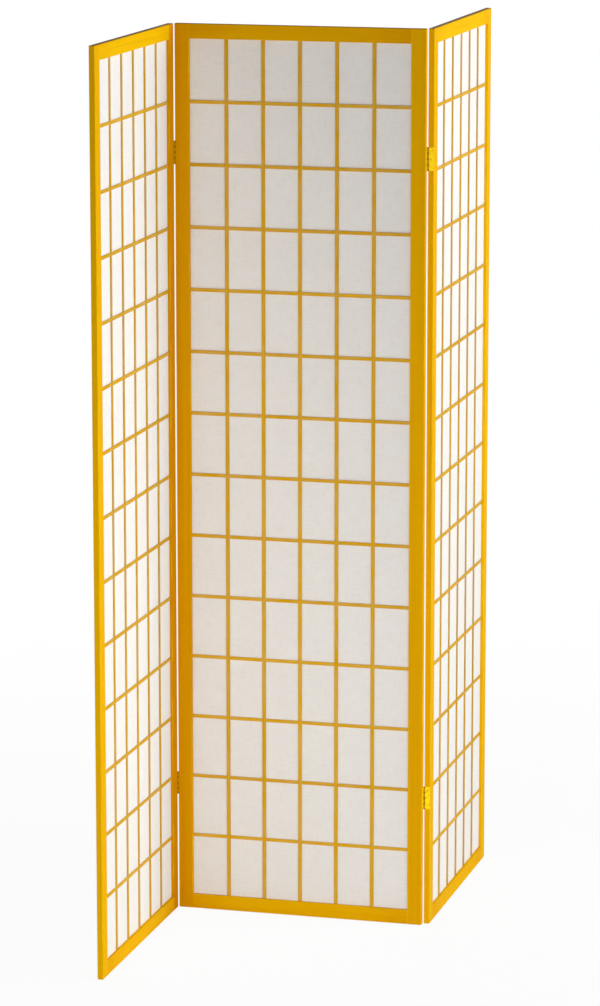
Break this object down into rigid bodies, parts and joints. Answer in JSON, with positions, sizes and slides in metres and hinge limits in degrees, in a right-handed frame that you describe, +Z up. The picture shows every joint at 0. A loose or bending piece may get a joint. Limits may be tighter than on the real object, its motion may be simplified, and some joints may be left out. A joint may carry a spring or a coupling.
{
  "type": "shoji folding screen",
  "caption": "Free-standing folding screen of hinged wooden panels, each a frame holding translucent paper between slim lattices, standing in a zigzag.",
  "frame": {"origin": "on the floor plane, midway between the centre panel's edges and midway through its thickness, which is the middle of the screen's footprint in the stored zigzag pose", "axes": "+Z up, +X along the centre panel towards the right panel's joint, +Y through the centre panel towards its back; the left panel points to -Y and the right panel to +Y"},
  "size_m": [0.5286, 1.019, 1.78],
  "materials": {
    "frame_wood": "honey-stained softwood, satin clear coat",
    "lattice_wood": "honey-stained softwood slats, satin",
    "shoji_paper": "off-white fibrous rice paper, matte, translucent",
    "hinge_brass": "bright plated brass",
    "screw_brass": "bright plated brass"
  },
  "bodies": {
    "centre_panel": {"centre_back_crossbars": "lattice_wood", "centre_back_uprights": "lattice_wood", "centre_bottom_rail": "frame_wood", "centre_front_crossbars": "lattice_wood", "centre_front_upright_1": "lattice_wood", "centre_front_upright_2": "lattice_wood", "centre_front_upright_3": "lattice_wood", "centre_front_upright_4": "lattice_wood", "centre_front_upright_5": "lattice_wood", "centre_left_stile": "frame_wood", "centre_paper": "shoji_paper", "centre_right_stile": "frame_wood", "centre_top_rail": "frame_wood", "left_hinge_centre_screws": "screw_brass", "left_lower_hinge_centre_leaf": "hinge_brass", "left_lower_hinge_pin": "hinge_brass", "left_upper_hinge_centre_leaf": "hinge_brass", "left_upper_hinge_pin": "hinge_brass", "right_hinge_centre_screws": "screw_brass", "right_lower_hinge_centre_leaf": "hinge_brass", "right_lower_hinge_pin": "hinge_brass", "right_upper_hinge_centre_leaf": "hinge_brass", "right_upper_hinge_pin": "hinge_brass"},
    "left_panel": {"left_back_crossbars": "lattice_wood", "left_back_uprights": "lattice_wood", "left_bottom_rail": "frame_wood", "left_front_crossbars": "lattice_wood", "left_front_upright_1": "lattice_wood", "left_front_upright_2": "lattice_wood", "left_front_upright_3": "lattice_wood", "left_front_upright_4": "lattice_wood", "left_front_upright_5": "lattice_wood", "left_hinge_side_screws": "screw_brass", "left_hinge_stile": "frame_wood", "left_lower_hinge_side_leaf": "hinge_brass", "left_outer_stile": "frame_wood", "left_paper": "shoji_paper", "left_top_rail": "frame_wood", "left_upper_hinge_side_leaf": "hinge_brass"},
    "right_panel": {"right_back_crossbars": "lattice_wood", "right_back_uprights": "lattice_wood", "right_bottom_rail": "frame_wood", "right_front_crossbars": "lattice_wood", "right_front_upright_1": "lattice_wood", "right_front_upright_2": "lattice_wood", "right_front_upright_3": "lattice_wood", "right_front_upright_4": "lattice_wood", "right_front_upright_5": "lattice_wood", "right_hinge_side_screws": "screw_brass", "right_hinge_stile": "frame_wood", "right_lower_hinge_side_leaf": "hinge_brass", "right_outer_stile": "frame_wood", "right_paper": "shoji_paper", "right_top_rail": "frame_wood", "right_upper_hinge_side_leaf": "hinge_brass"}
  },
  "joints": [
    {"name": "left_fold", "type": "hinge", "parent": "centre_panel", "child": "left_panel", "pos_m": [-0.2522, -0.00635, 0.89], "axis": [0, 0, 1], "range_deg": [-90, 90]},
    {"name": "right_fold", "type": "hinge", "parent": "centre_panel", "child": "right_panel", "pos_m": [0.2522, 0.00635, 0.89], "axis": [0, 0, 1], "range_deg": [-90, 90]}
  ]
}
